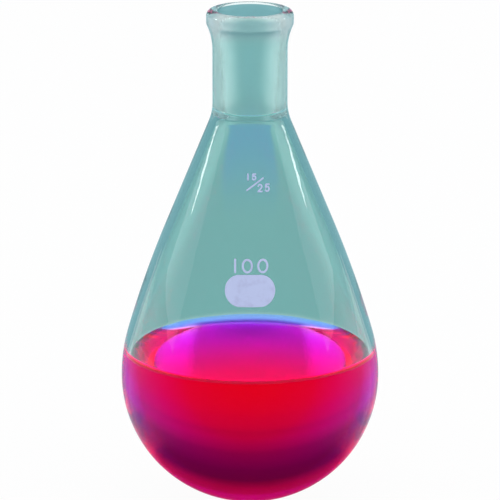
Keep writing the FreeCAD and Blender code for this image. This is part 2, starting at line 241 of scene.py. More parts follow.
def mark_zones(piece):
    """Number each face by its zone, and count the faces of each.

    The zones are the dry outside, the ground bore, the wetted wall outside and inside, and
    the dry inside. A face looks inwards where its normal points towards the axis.
    """
    mesh = piece.data
    normals = np.empty(len(mesh.polygons) * 3)
    centres = np.empty(len(mesh.polygons) * 3)
    mesh.polygons.foreach_get("normal", normals)
    mesh.polygons.foreach_get("center", centres)
    normals, centres = normals.reshape(-1, 3), centres.reshape(-1, 3) / MM
    inward = (normals[:, :2] * centres[:, :2]).sum(axis=1) < 0.0
    height = centres[:, 2]
    zone = np.zeros(len(height), dtype=np.int32)
    zone[inward & (height < -SOCKET_LENGTH)] = DRY_INSIDE
    zone[inward & (height < -GROUND_TOP) & (height > -SOCKET_LENGTH)] = GROUND
    zone[~inward & (height < -LIQUID_EDGE)] = WET_OUTSIDE
    zone[inward & (height < -LIQUID_EDGE)] = WET_INSIDE
    mesh.polygons.foreach_set("material_index", zone)
    return np.bincount(zone, minlength=5).tolist()


# %% [markdown]
# ## The liquid
#
# The dyed water fills the bulb to a flat surface whose rim creeps up the wall, because
# water wets clean glass. If it stopped exactly at the wall, two faces would lie in one
# place, and if it stopped short, a film of air would shine. So its side reaches a tenth of
# a millimetre into the glass, and light goes straight from one into the other.

# %% Make the liquid
MENISCUS_RADIUS, MENISCUS_REACH = 4.35, 3.0
OVERLAP = 0.1
SHARP_ANGLE = 25.0


def liquid_outline():
    """Inner pole, up the wetted wall, back along the meniscus and over the flat surface.

    The meniscus is an arc that leaves the flat surface level. Its end angle is found by a
    few rounds of setting its radius equal to the wall's at its own height.
    """
    flat_edge = float(wall_radius(-LIQUID_EDGE, -WALL)) - MENISCUS_REACH
    angle = math.asin(MENISCUS_REACH / MENISCUS_RADIUS)
    for _ in range(6):
        height = -LIQUID_DEPTH + MENISCUS_RADIUS * (1.0 - math.cos(angle))
        reach = float(wall_radius(height, OVERLAP - WALL)) - flat_edge
        angle = math.asin(reach / MENISCUS_RADIUS)
    rim = arc((flat_edge, -LIQUID_DEPTH + MENISCUS_RADIUS), MENISCUS_RADIUS,
              math.degrees(angle) - 90.0, -90.0, 3.0)
    heights = np.linspace(-BULB_DEPTH, rim[0][1], 12)[1:-1]
    shoulder = np.column_stack([wall_radius(heights, OVERLAP - WALL), heights])
    bulb = arc((0.0, -BULB_DEPTH), BULB_RADIUS - WALL + OVERLAP, -90.0, 0.0, 1.5)
    return joined(bulb, shoulder, rim, line(rim[-1], (0.0, -LIQUID_DEPTH)))


liquid = new_piece("liquid_body", *turned_grid(liquid_outline()))
liquid.data.set_sharp_from_angle(angle=math.radians(SHARP_ANGLE))
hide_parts("red_liquid")

# %% [markdown]
# ## The enamel patch
#
# A patch of white enamel is fired onto the glass so that it can be written on in pencil.
# It is a film with a soft edge, so it is drawn as a flat stadium and then laid on the
# glass: each of its points moves forward until it meets the wall.

# %% Lay a flat shape on the front of the flask
FILM = 0.1
SUNK = 0.05


def on_glass(across, height, lift):
    """Points on the front of the wall.

    Y is minus the root of the wall's radius with the lift, squared, less x squared.
    """
    reach = wall_radius(height) + lift
    return np.stack([across, -np.sqrt(reach ** 2 - across ** 2), height], axis=-1)


PATCH_WIDTH, PATCH_HEIGHT, PATCH_RISE = 12.2, 7.4, 28.2
PATCH_DEPTH = BULB_DEPTH - PATCH_RISE
PATCH_RINGS = np.array([0.0, 0.2, 0.4, 0.6, 0.8, 0.9, 0.95, 0.975, 0.99, 1.0])
SOFT_EDGE = 0.05
STRAIGHT_STEEPNESS = 6.0


def patch_points(sides=128):
    """A stadium's edge scaled towards its middle, on top and underneath.

    The edge is a half round at each end of a straight, which is a clipped and steepened
    cosine. The film is full in the middle and falls off as a quarter round at its edge, and
    its underside lies just inside the glass.
    """
    angles = np.linspace(0.0, 2.0 * math.pi, sides, endpoint=False)
    end, straight = PATCH_HEIGHT / 2, (PATCH_WIDTH - PATCH_HEIGHT) / 2
    across_straight = np.clip(np.cos(angles) * STRAIGHT_STEEPNESS, -1.0, 1.0)
    edge_x = end * np.cos(angles) + straight * across_straight
    edge_z = end * np.sin(angles)
    fall = np.clip((PATCH_RINGS - (1.0 - SOFT_EDGE)) / SOFT_EDGE, 0.0, 1.0)
    film = FILM * np.sqrt(1.0 - fall ** 2)
    shares = np.concatenate([PATCH_RINGS[1:], PATCH_RINGS[:0:-1]])[:, None]
    across, height = shares * edge_x, shares * edge_z - PATCH_DEPTH
    lift = np.concatenate([film[1:], np.full(len(film) - 1, -SUNK)])[:, None] * np.ones(sides)
    rows = on_glass(across, height, lift).reshape(-1, 3)
    middles = on_glass(np.zeros(2), np.full(2, -PATCH_DEPTH), np.array([FILM, -SUNK]))
    return rows, middles, len(shares), sides


def closed_rows(rows, middles, count, sides):
    """Faces of a form whose rows run from one middle point to the other."""
    here = np.arange(sides)
    beside = (here + 1) % sides
    start = np.arange(count - 1)[:, None] * sides
    quads = np.stack([start + here, start + sides + here, start + sides + beside, start + beside],
                     axis=-1)
    top, under, last = count * sides, count * sides + 1, (count - 1) * sides
    fan = np.stack([np.full(sides, top), here, beside], axis=-1)
    back = np.stack([np.full(sides, under), last + beside, last + here], axis=-1)
    return np.vstack([rows, middles]), quads.reshape(-1, 4).tolist() + fan.tolist() + back.tolist()


patch = new_piece("enamel_patch", *closed_rows(*patch_points()))
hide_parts("writing_patch")

# %% [markdown]
# ## The enamel numbers
#
# The joint size and the volume are printed in the same enamel through a screen. A text
# object would need a font, and its flat caps would have to be bent round the cone. Each
# figure is short, so it is drawn with a pen instead: a path of lines and arcs, and a
# rounded stroke carried along it.

# %% Paths of the figures
def pen_arc(centre, size, start, end):
    """An arc of an upright oval: the centre plus the half sizes times (cosine, sine)."""
    angles = np.radians(np.linspace(start, end, max(6, int(abs(end - start) / 12.0) + 1)))
    return np.column_stack([centre[0] + size[0] * np.cos(angles),
                            centre[1] + size[1] * np.sin(angles)])


def pen_line(start, end):
    """A straight stroke."""
    return np.linspace(start, end, 8)


FIGURES = {
    "0": [(pen_arc((0.5, 0.5), (0.5, 0.5), 90.0, 450.0)[:-1], True)],
    "1": [(pen_line((0.5, 0.0), (0.5, 1.0)), False)],
    "2": [(np.vstack([pen_arc((0.5, 0.7), (0.45, 0.3), 165.0, -25.0),
                      pen_line((0.86, 0.52), (0.08, 0.03))]), False),
          (pen_line((0.05, 0.0), (1.0, 0.0)), False)],
    "5": [(pen_line((0.95, 1.0), (0.2, 1.0)), False),
          (pen_line((0.2, 1.0), (0.12, 0.52)), False),
          (pen_arc((0.48, 0.33), (0.48, 0.33), 138.0, -150.0), False)],
    "/": [(pen_line((0.0, 0.0), (1.0, 1.0)), False)],
}
print("figures:", sorted(FIGURES))

# %% Carry the pen along a path
PEN_ENDS = np.array([0.0, 0.04, 0.15, 0.4, 1.0])
NARROWEST = 0.02
FIGURE_FILM = 0.06


def stroke(path, closed, width, film, corners=10):
    """A rounded stroke along a path that is given as (across, height) in millimetres.

    Across the stroke, a point at angle b is half the width times cos b to the side and the
    film times sin b up, and the underside is sunk into the glass. At an open end the width
    narrows as a half circle does, so the pen mark ends round.
    """
    if closed:
        along = np.roll(path, -1, axis=0) - np.roll(path, 1, axis=0)
    else:
        along = np.gradient(path, axis=0)
    along /= np.linalg.norm(along, axis=1)[:, None]
    half = np.full(len(path), width / 2)
    if not closed:
        ends = PEN_ENDS * width / 2
        before = path[0] - along[0] * (width / 2 - ends)[:, None]
        after = path[-1] + along[-1] * (width / 2 - ends[::-1])[:, None]
        share = 1.0 - ((width / 2 - ends) / (width / 2)) ** 2
        narrow = np.sqrt(np.clip(share, NARROWEST, 1.0)) * width / 2
        path = np.vstack([before, path[1:-1], after])
        along = np.vstack([np.repeat(along[:1], len(PEN_ENDS), axis=0), along[1:-1],
                           np.repeat(along[-1:], len(PEN_ENDS), axis=0)])
        half = np.concatenate([narrow, half[1:-1], narrow[::-1]])
    side = np.column_stack([-along[:, 1], along[:, 0]])
    angles = np.linspace(0.0, 2.0 * math.pi, corners, endpoint=False)
    spread = np.cos(angles)[None, :, None] * half[:, None, None] * side[:, None, :]
    places = path[:, None, :] + spread
    lift = np.where(np.sin(angles) > 0.0, film * np.sin(angles), SUNK * np.sin(angles))
    points = on_glass(places[..., 0], places[..., 1], np.broadcast_to(lift, places.shape[:2]))
    count = len(path)
    here = np.arange(corners)
    beside = (here + 1) % corners
    rows = np.arange(count if closed else count - 1)[:, None]
    after = (rows + 1) % count
    quads = np.stack([rows * corners + here, rows * corners + beside,
                      after * corners + beside, after * corners + here], axis=-1)
    quads = quads.reshape(-1, 4).tolist()
    if not closed:
        quads += [here[::-1].tolist(), (here + (count - 1) * corners).tolist()]
    return points.reshape(-1, 3), quads


def figures(name, placed, width):
    """One mesh of several figures, each given as (figure, left, low, wide, tall) in millimetres."""
    points, faces = [], []
    for figure, left, low, wide, tall in placed:
        for path, closed in FIGURES[figure]:
            corners, around = stroke(path * (wide, tall) + (left, low), closed, width, FIGURE_FILM)
            first = sum(len(block) for block in points)
            points.append(corners)
            faces += [[first + corner for corner in face] for face in around]
    return new_piece(name, np.vstack(points), faces)


# %% Place the joint size and the volume
joint_size = figures("joint_size_figures", [
    ("1", -0.75, -39.2, 0.5, 1.25), ("5", 0.55, -39.2, 0.85, 1.25),
    ("/", -0.75, -41.6, 3.9, 2.7),
    ("2", 1.95, -41.9, 0.95, 1.55), ("5", 3.7, -41.9, 0.95, 1.55),
], width=0.36)
volume = figures("volume_figures", [
    ("1", -3.9, -60.2, 0.6, 2.85), ("0", -1.75, -60.2, 2.2, 2.85), ("0", 2.0, -60.2, 2.2, 2.85),
], width=0.5)

# %% [markdown]
# ## Helpers for finishes
#
# Each finish is a small tree of nodes. Effects that several finishes share, such as the
# slow waves of blown glass, are node groups with named inputs, built once.

# %% Short ways to add nodes
WAVE_DEPTH, GRAIN_DEPTH = 0.00012, 0.00002


def new_material(name):
    """A material with a Principled shader; returns it with its nodes, links and shader."""
    material = bpy.data.materials.new(name)
    material.use_nodes = True
    nodes = material.node_tree.nodes
    return material, nodes, material.node_tree.links, nodes["Principled BSDF"]


def object_place(nodes):
    """A point's own place on the object, in metres."""
    return nodes.new("ShaderNodeTexCoord").outputs["Object"]


def new_group(name, inputs, outputs):
    """An empty node group; inputs and outputs are (name, type, default)."""
    group = bpy.data.node_groups.new(name, "ShaderNodeTree")
    for label, kind, default in inputs:
        item = group.interface.new_socket(name=label, in_out="INPUT", socket_type=kind)
        if default is not None:
            item.default_value = default
    for label, kind in outputs:
        group.interface.new_socket(name=label, in_out="OUTPUT", socket_type=kind)
    enter = group.nodes.new("NodeGroupInput")
    leave = group.nodes.new("NodeGroupOutput")
    return group, group.nodes, group.links, enter.outputs, leave.inputs


def use_group(nodes, group, vector, **values):
    """Place a group in a material, feed it the place and set its other inputs."""
    node = nodes.new("ShaderNodeGroup")
    node.node_tree = group
    nodes.id_data.links.new(vector, node.inputs["Vector"])
    for label, value in values.items():
        node.inputs[label.replace("_", " ")].default_value = value
    return node.outputs


def noise(nodes, vector, scale, detail):
    """A noise texture in three dimensions; returns its value."""
    node = nodes.new("ShaderNodeTexNoise")
    node.inputs["Scale"].default_value = scale
    node.inputs["Detail"].default_value = detail
    nodes.id_data.links.new(vector, node.inputs["Vector"])
    return node.outputs["Fac"]


def ramp(nodes, value, low, high, to_low=0.0, to_high=1.0, smooth=True):
    """Map a value from one range to another, with soft ends if smooth."""
    node = nodes.new("ShaderNodeMapRange")
    node.interpolation_type = "SMOOTHSTEP" if smooth else "LINEAR"
    ends = {"From Min": low, "From Max": high, "To Min": to_low, "To Max": to_high}
    for label, number in ends.items():
        node.inputs[label].default_value = number
    nodes.id_data.links.new(value, node.inputs["Value"])
    return node.outputs["Result"]


def mix_colour(nodes, factor, first, second):
    """Mix two colours, each a tuple or a socket, by a socket."""
    node = nodes.new("ShaderNodeMix")
    node.data_type = "RGBA"
    nodes.id_data.links.new(factor, node.inputs["Factor"])
    for colour, target in ((first, node.inputs[6]), (second, node.inputs[7])):
        if isinstance(colour, tuple):
            target.default_value = (*colour, 1.0)
        else:
            nodes.id_data.links.new(colour, target)
    return node.outputs[2]


def calculate(nodes, operation, first, second=0.0):
    """One Math node; each operand is a number or a socket."""
    node = nodes.new("ShaderNodeMath")
    node.operation = operation
    for operand, target in ((first, node.inputs[0]), (second, node.inputs[1])):
        if isinstance(operand, (int, float)):
            target.default_value = operand
        else:
            nodes.id_data.links.new(operand, target)
    return node.outputs["Value"]


def both(nodes, *masks):
    """The product of masks, which is 1 only where each of them is 1."""
    product = masks[0]
    for mask in masks[1:]:
        product = calculate(nodes, "MULTIPLY", product, mask)
    return product


def without(nodes, mask):
    """1 where a mask is 0, and 0 where it is 1."""
    return calculate(nodes, "SUBTRACT", 1.0, mask)


def parts_of(nodes, vector):
    """The X, Y and Z of a vector, as sockets."""
    node = nodes.new("ShaderNodeSeparateXYZ")
    nodes.id_data.links.new(vector, node.inputs["Vector"])
    return node.outputs


def colour_band(nodes, value, stops, reach=1.0):
    """A colour ramp from (position, colour) stops that run from 0 to the reach.

    A ramp holds no colour over 1, so the colours go in as shares of the brightest part of
    any of them, and what comes out is multiplied by it.
    """
    brightest = max(1.0, max(part for _, colour in stops for part in colour))
    node = nodes.new("ShaderNodeValToRGB")
    elements = node.color_ramp.elements
    while len(elements) < len(stops):
        elements.new(0.5)
    for element, (position, colour) in zip(elements, stops):
        element.position = position / reach
        element.color = (*(part / brightest for part in colour), 1.0)
    nodes.id_data.links.new(calculate(nodes, "DIVIDE", value, reach), node.inputs["Fac"])
    scaled = nodes.new("ShaderNodeVectorMath")
    scaled.operation = "SCALE"
    scaled.inputs["Scale"].default_value = brightest
    nodes.id_data.links.new(node.outputs["Color"], scaled.inputs[0])
    return scaled.outputs["Vector"]


def bump(nodes, height, distance):
    """A normal from a height that is given in shares of a distance in metres."""
    node = nodes.new("ShaderNodeBump")
    node.inputs["Distance"].default_value = distance
    nodes.id_data.links.new(height, node.inputs["Height"])
    return node.outputs["Normal"]


# %% Shared effects
def waves_group():
    """Blown glass is never quite even: slow rings from the turning lathe and a slower wander."""
    group, nodes, links, given, result = new_group(
        "blown_waves", [("Vector", "NodeSocketVector", None)], [("Height", "NodeSocketFloat")])
    stretch = nodes.new("ShaderNodeMapping")
    stretch.inputs["Scale"].default_value = (0.25, 0.25, 1.0)
    links.new(given["Vector"], stretch.inputs["Vector"])
    rings = noise(nodes, stretch.outputs["Vector"], 160.0, 1.0)
    wander = noise(nodes, given["Vector"], 38.0, 1.0)
    total = nodes.new("ShaderNodeMath")
    total.operation = "MULTIPLY_ADD"
    total.inputs[1].default_value = 0.35
    links.new(rings, total.inputs[0])
    links.new(wander, total.inputs[2])
    links.new(total.outputs["Value"], result["Height"])
    return group


def haze_group():
    """Faint dried marks: patches of noise, sharpened, for roughness and tone."""
    group, nodes, links, given, result = new_group(
        "dried_haze", [("Vector", "NodeSocketVector", None), ("Size", "NodeSocketFloat", 90.0)],
        [("Mask", "NodeSocketFloat")])
    node = nodes.new("ShaderNodeTexNoise")
    node.inputs["Detail"].default_value = 5.0
    links.new(given["Vector"], node.inputs["Vector"])
    links.new(given["Size"], node.inputs["Scale"])
    links.new(ramp(nodes, node.outputs["Fac"], 0.45, 0.75), result["Mask"])
    return group


def height_group():
    """How far up the object a point lies, from 0 at one height to 1 at another."""
    group, nodes, links, given, result = new_group(
        "height_share", [("Vector", "NodeSocketVector", None), ("Low", "NodeSocketFloat", 0.0),
                         ("High", "NodeSocketFloat", 1.0)], [("Share", "NodeSocketFloat")])
    share = nodes.new("ShaderNodeMapRange")
    share.interpolation_type = "SMOOTHSTEP"
    links.new(parts_of(nodes, given["Vector"])["Z"], share.inputs["Value"])
    links.new(given["Low"], share.inputs["From Min"])
    links.new(given["High"], share.inputs["From Max"])
    links.new(share.outputs["Result"], result["Share"])
    return group


def above(nodes, place, line):
    """1 above a line that is given by the two heights in metres between which it is soft."""
    return use_group(nodes, height_share, place, Low=line[0], High=line[1])["Share"]


waves, haze, height_share = waves_group(), haze_group(), height_group()
print("groups:", [group.name for group in (waves, haze, height_share)])

# %% [markdown]
# ## Blown glass
#
# Light loses a little colour at each face, so light that crosses two walls shows twice
# the tint of one. The tint is strongest in the dry part and pale where the liquid wets
# the wall, which keeps the liquid's own colour clear. It is paler round the neck, where
# the ground bore inside takes a share of its own.
#
# Where the liquid lies against the wall, the glass has an IOR near 1. That stands in for
# the way water hides glass: with the true value each face throws back a veil of white,
# and the dye looks milky. The two faces of the wall are nearly parallel, so the liquid
# still bends the light as it should. Light that enters there is given a painted colour
# by how far from straight on it comes in, red in the middle and violet at the edge: a
# painted violet light at the edge of the bulb.

# %% Blown and ground glass
GLASS_IOR, WETTED_IOR = 1.47, 1.06
DRY_TINT = (0.425, 0.655, 0.645)
WET_TINT = (0.95, 0.92, 0.96)
NECK_TINT = (0.64, 0.98, 0.94)
# The bead's paler tint is a painted highlight along the rim.
BEAD_HIGHLIGHT_TINT = (0.90, 1.00, 1.00)
GROUND_TINT = (0.36, 0.575, 0.575)
# Ground glass is painted paler at a slant, a painted sheen.
GROUND_SHEEN = (0.90, 1.00, 1.00)
# Ground glass is painted dark just inside the mouth, a painted shade.
MOUTH_SHADE = (0.06, 0.26, 0.30)
WET_LINE, NECK_LINE = (-0.0875, -0.0845), (-0.0254, -0.0242)
BEAD_LINE, MOUTH_SHADE_LINE = (-0.0080, -0.0030), (-0.0060, -0.0040)
# A painted light by angle on the wetted wall: red straight on, violet at the edge.
PAINTED_EDGE_LIGHT = [(0.00, (1.0, 0.1, 0.003)), (0.14, (0.94, 0.1, 0.012)), (0.30, (0.85, 0.12, 0.08)),
          (0.50, (0.7, 0.16, 0.14)), (0.72, (0.62, 0.25, 0.65))]


def glass_material(name, shine, ior=GLASS_IOR, edge_light=None):
    """Clear blown glass: teal where it is dry, paler in the bead, with slow waves and dried haze.

    Shine scales the reflection seen straight on. Edge light is a painted light by angle:
    the colour that light takes as it enters, by how far from straight on the wall is seen.
    The bead's paler tint is a painted highlight.
    """
    material, nodes, links, shader = new_material(name)
    place = object_place(nodes)
    tint = mix_colour(nodes, above(nodes, place, WET_LINE), WET_TINT, DRY_TINT)
    tint = mix_colour(nodes, above(nodes, place, NECK_LINE), tint, NECK_TINT)
    # Painted highlight: the bead is paler.
    tint = mix_colour(nodes, above(nodes, place, BEAD_LINE), tint, BEAD_HIGHLIGHT_TINT)
    if edge_light:
        # Painted light: the colour that light takes as it enters, violet at the edge.
        painted_light_by_angle = colour_band(nodes, nodes.new("ShaderNodeLayerWeight").outputs["Facing"], edge_light)
        leaving = nodes.new("ShaderNodeNewGeometry").outputs["Backfacing"]
        tint = mix_colour(nodes, leaving, painted_light_by_angle, tint)
    links.new(tint, shader.inputs["Base Color"])
    mask = use_group(nodes, haze, place, Size=70.0)["Mask"]
    links.new(ramp(nodes, mask, 0.0, 1.0, 0.0, 0.012), shader.inputs["Roughness"])
    height = use_group(nodes, waves, place)["Height"]
    links.new(bump(nodes, height, WAVE_DEPTH), shader.inputs["Normal"])
    shader.inputs["IOR"].default_value = ior
    shader.inputs["Transmission Weight"].default_value = 1.0
    shader.inputs["Specular Tint"].default_value = (shine, shine, shine, 1.0)
    return material


def ground_material():
    """The ground bore: a fine even grain that scatters the light.

    It is painted paler where it is seen at a slant, a painted sheen, and painted darker
    just inside the mouth where it is seen from the air side, a painted shade.
    """
    material, nodes, links, shader = new_material("ground_glass")
    place = object_place(nodes)
    # Painted sheen: paler where the bore is seen at a slant.
    slant_sheen = ramp(nodes, nodes.new("ShaderNodeLayerWeight").outputs["Facing"], 0.05, 0.26)
    tone = mix_colour(nodes, slant_sheen, GROUND_TINT, GROUND_SHEEN)
    behind = nodes.new("ShaderNodeNewGeometry").outputs["Backfacing"]
    # Painted shade: darker just inside the mouth.
    mouth = both(nodes, above(nodes, place, MOUTH_SHADE_LINE), without(nodes, behind))
    links.new(mix_colour(nodes, mouth, tone, MOUTH_SHADE), shader.inputs["Base Color"])
    patches = use_group(nodes, haze, place, Size=260.0)["Mask"]
    links.new(ramp(nodes, patches, 0.0, 1.0, 0.42, 0.50), shader.inputs["Roughness"])
    links.new(bump(nodes, noise(nodes, place, 5200.0, 2.0), GRAIN_DEPTH), shader.inputs["Normal"])
    shader.inputs["IOR"].default_value = GLASS_IOR
    shader.inputs["Transmission Weight"].default_value = 0.8
    return material


for finish in (glass_material("blown_glass", 0.4), ground_material(),
               glass_material("wetted_glass_outside", 0.2, WETTED_IOR, PAINTED_EDGE_LIGHT),
               glass_material("wetted_glass_inside", 0.1, WETTED_IOR),
               glass_material("blown_glass_inside", 0.0)):
    glass.data.materials.append(finish)
print("faces in each zone:", mark_zones(glass))

# %% [markdown]
# ## Dyed water
#
# A pink dye takes out green at once, blue slowly and red hardly at all. So a thin layer
# looks violet and a thick one red, and that change comes from the depth of liquid that
# the light has crossed. A colour on the surface could not do it; a volume that absorbs can.
#
# Some tints on its faces are painted light. The top is deeper in tone over the middle
# and violet at the back, a painted reflection, and blue where it climbs the wall; a thin
# line in front is painted red as a glint, where the side of the liquid ends at the glass.

# %% The liquid's finish
WATER_IOR = 1.34
DYE, DYE_DENSITY = (0.99, 0.02, 0.86), 260.0
# The middle and back tints of the top are a painted reflection; the contact tint is a painted red
# glint.
SIDE_TINT, MIDDLE_REFLECTION_TINT, BACK_REFLECTION_TINT = (1.0, 0.93, 0.97), (0.44, 0.004, 0.25), (0.14, 0.004, 0.28)
RIM_TINT, CONTACT_GLINT_TINT = (0.20, 0.70, 1.0), (1.0, 0.9, 0.04)
UPRIGHT, TOP_LINE, RIM_LINE = (0.20, 0.30), (-0.0872, -0.0870), (-0.0870, -0.0864)
FRONT_EDGE, BACK_EDGE, MIDDLE_EDGE = (-0.012, -0.002), (0.018, 0.026), (0.0125, 0.0170)


def liquid_material():
    """Water with a dye in its volume, and a surface with the slightest tremble.

    The top is deeper in tone over the middle and violet at the back, a painted reflection,
    bluer where it climbs the wall, and a painted red glint at the thin line in front where
    its side ends. Top is 1 where the upright part of the normal, above the liquid's edge,
    is over 0.3.
    """
    material, nodes, links, shader = new_material("dyed_water")
    place = object_place(nodes)
    parts = parts_of(nodes, place)
    normal = parts_of(nodes, nodes.new("ShaderNodeNewGeometry").outputs["True Normal"])
    across = calculate(nodes, "ABSOLUTE", parts["X"])
    up = calculate(nodes, "ABSOLUTE", normal["Z"])
    top = ramp(nodes, both(nodes, up, ramp(nodes, parts["Z"], *TOP_LINE)), *UPRIGHT)
    rim = above(nodes, place, RIM_LINE)
    # Painted reflection: the top is darker over the middle and violet at the back.
    flat = mix_colour(nodes, ramp(nodes, parts["Y"], *BACK_EDGE), MIDDLE_REFLECTION_TINT, BACK_REFLECTION_TINT)
    flat = mix_colour(nodes, ramp(nodes, across, *MIDDLE_EDGE), flat, SIDE_TINT)
    # Painted glint: a red line in front, where the side of the liquid ends.
    front = both(nodes, rim, ramp(nodes, parts["Y"], *FRONT_EDGE, 1.0, 0.0))
    side = mix_colour(nodes, front, SIDE_TINT, CONTACT_GLINT_TINT)
    tint = mix_colour(nodes, top, side, mix_colour(nodes, rim, flat, RIM_TINT))
    links.new(tint, shader.inputs["Base Color"])
    shader.inputs["Roughness"].default_value = 0.0
    shader.inputs["IOR"].default_value = WATER_IOR
    shader.inputs["Transmission Weight"].default_value = 1.0
    shader.inputs["Specular Tint"].default_value = (0.15, 0.15, 0.15, 1.0)
    links.new(bump(nodes, noise(nodes, place, 60.0, 1.0), GRAIN_DEPTH), shader.inputs["Normal"])
    dye = nodes.new("ShaderNodeVolumeAbsorption")
    dye.inputs["Color"].default_value = (*DYE, 1.0)
    dye.inputs["Density"].default_value = DYE_DENSITY
    links.new(dye.outputs["Volume"], nodes["Material Output"].inputs["Volume"])
    return material


liquid.data.materials.append(liquid_material())
print("liquid:", liquid.data.materials[0].name)

# %% [markdown]
# ## White enamel
#
# Fired enamel is matt glass with a white pigment. It is pale with a cool cast, a little
# thicker in some places than in others, and its surface is finely pitted so that a pencil
# bites on it.

# %% The enamel's finish
ENAMEL = (0.585, 0.645, 0.92)
ENAMEL_THIN = (0.50, 0.54, 0.80)


def enamel_material():
    """Pale enamel: cloudy tone, uneven gloss and a pitted surface."""
    material, nodes, links, shader = new_material("white_enamel")
    place = object_place(nodes)
    cloud = use_group(nodes, haze, place, Size=420.0)["Mask"]
    links.new(mix_colour(nodes, cloud, ENAMEL, ENAMEL_THIN), shader.inputs["Base Color"])
    links.new(ramp(nodes, cloud, 0.0, 1.0, 0.38, 0.55), shader.inputs["Roughness"])
    links.new(bump(nodes, noise(nodes, place, 3800.0, 3.0), GRAIN_DEPTH), shader.inputs["Normal"])
    return material


white_enamel = enamel_material()
for mark in (patch, joint_size, volume):
    mark.data.materials.append(white_enamel)
print("enamel on:", [mark.name for mark in (patch, joint_size, volume)])

# %% [markdown]
# ## Floor and light
#
# The photograph has a plain white ground. The floor is white to the camera and to what is
# seen through the glass, with a little real shading mixed in so that the flask still
# throws a soft shadow.
#
# What shows in glassware is mostly what stands round it, so a studio puts cards and flags
# there. Here the floor and the room hold them, and each is seen only along some paths of
# the light: how many faces it has crossed and how often it was thrown back say which.
# Straight to the camera the floor stays white.
#
# - Flags are dark. Thrown back by one wall, they draw the dark edges of the cone.
# - A blue card behind the flask shows through two dry walls as the strip under the neck.
#   Two pale cards beside it make the soft light columns.
# - Through the liquid the floor shows a round card in bands of colour, and the room a band
#   that darkens upwards. They stand in for a studio that the photograph doesn't show. The
#   colours are chosen so that the dye looks as it does in the photograph, and some are
#   brighter than white, so the match holds from in front only.
#
# Two small lamps low at the sides draw the short bright streaks under the neck, and two
# wide ones give the even light.

# %% What is seen, and through what
ONE_WALL, TWO_WALLS, LIQUID_TOO, ROUND_THE_RIM = 2.5, 3.5, 4.5, 9.5
FLAG = (0.33, 0.55, 0.61)
# A painted red glow on the floor close under the bulb, seen where the glass mirrors it.
UNDER_GLOW = (0.9, 0.02, 0.15)
MIRRORED = (0.10, 0.02, 0.15)
TOSSED = (9.0, 9.0, 30.0)
ONCE, TWICE = 0.5, 1.5


def seen_inside(nodes, plain, through, flagged, mirrored, flag_colour=FLAG):
    """The colour of a surface by the way that light has come to it through the flask.

    Transmission depth counts the faces that the light has crossed, and glossy depth how often
    it was thrown back. Thrown back by one wall, it shows the flags that darken the edges of
    the glass; thrown back after two walls, the mirror image in the liquid's surface. Light
    that has crossed the liquid, and was never thrown back, shows the coloured card behind
    it. Light that has run along the wall by being thrown back again and again shows the
    pale glow of the rim, which is far over 1 because each face takes its share. Flagged and
    mirrored are 1 where this surface holds a flag and where it is mirrored.
    """
    path = nodes.new("ShaderNodeLightPath")
    crossed, thrown = path.outputs["Transmission Depth"], path.outputs["Glossy Depth"]
    once = calculate(nodes, "GREATER_THAN", thrown, ONCE)
    again = calculate(nodes, "GREATER_THAN", thrown, TWICE)
    one_wall = calculate(nodes, "LESS_THAN", crossed, ONE_WALL)
    two_walls = calculate(nodes, "GREATER_THAN", crossed, TWO_WALLS)
    wet = calculate(nodes, "GREATER_THAN", crossed, LIQUID_TOO)
    tossed = both(nodes, calculate(nodes, "GREATER_THAN", crossed, ROUND_THE_RIM), again)
    only_once = calculate(nodes, "SUBTRACT", once, again)
    only_two_walls = calculate(nodes, "SUBTRACT", two_walls, wet)
    flag = both(nodes, once, one_wall, flagged)
    colour = mix_colour(nodes, flag, plain, flag_colour)
    colour = mix_colour(nodes, both(nodes, only_once, only_two_walls, mirrored), colour, MIRRORED)
    colour = mix_colour(nodes, both(nodes, wet, without(nodes, once)), colour, through)
    colour = mix_colour(nodes, tossed, colour, TOSSED)
    return colour, wet, two_walls


print("faces that tell the paths apart:", (ONE_WALL, TWO_WALLS, LIQUID_TOO, ROUND_THE_RIM))

# %% The floor's cards
CARD = [(0.000, (4.8, 3.2, 2.0)), (0.024, (4.4, 3.2, 2.1)), (0.044, (2.6, 3.2, 4.0)),
        (0.048, (0.9, 1.1, 2.2)), (0.075, (1.4, 1.1, 1.5)), (0.125, (0.95, 0.3, 2.0)),
        (0.200, (0.8, 0.35, 3.0)), (0.500, (0.6, 0.6, 3.0))]
CARD_REACH = 0.5
FLAG_SPREAD = 0.8
UNDER_EDGE = (0.03, 0.07)
BLUE_CARD = (0.80, 0.88, 1.18)
BLUE_CARD_NEAR, BLUE_CARD_FAR = 0.27, 0.58
BLUE_CARD_HALF_WIDTHS = (0.012, 0.076)
BLUE_CARD_SIDES, BLUE_CARD_FADE, BLUE_CARD_END = (0.80, 1.05), 0.13, 0.01
SIDE_CARD = (1.30, 1.22, 1.20)
SIDE_CARD_NEAR, SIDE_CARD_FAR = (0.034, 0.056), (0.12, 0.17)


def blue_card(nodes, across, back):
    """1 on a card that lies behind the flask, wider at its far end, with soft edges.

    The narrow neck end of the cone spreads what is seen through it more than its foot does,
    so a card that widens looks like an even strip.
    """
    edge = ramp(nodes, back, BLUE_CARD_NEAR, BLUE_CARD_FAR, *BLUE_CARD_HALF_WIDTHS, smooth=False)
    sides = ramp(nodes, calculate(nodes, "DIVIDE", across, edge), *BLUE_CARD_SIDES, 1.0, 0.0)
    near = ramp(nodes, back, BLUE_CARD_NEAR, BLUE_CARD_NEAR + BLUE_CARD_FADE)
    far = ramp(nodes, back, BLUE_CARD_FAR, BLUE_CARD_FAR + BLUE_CARD_END, 1.0, 0.0)
    return both(nodes, near, far, sides)


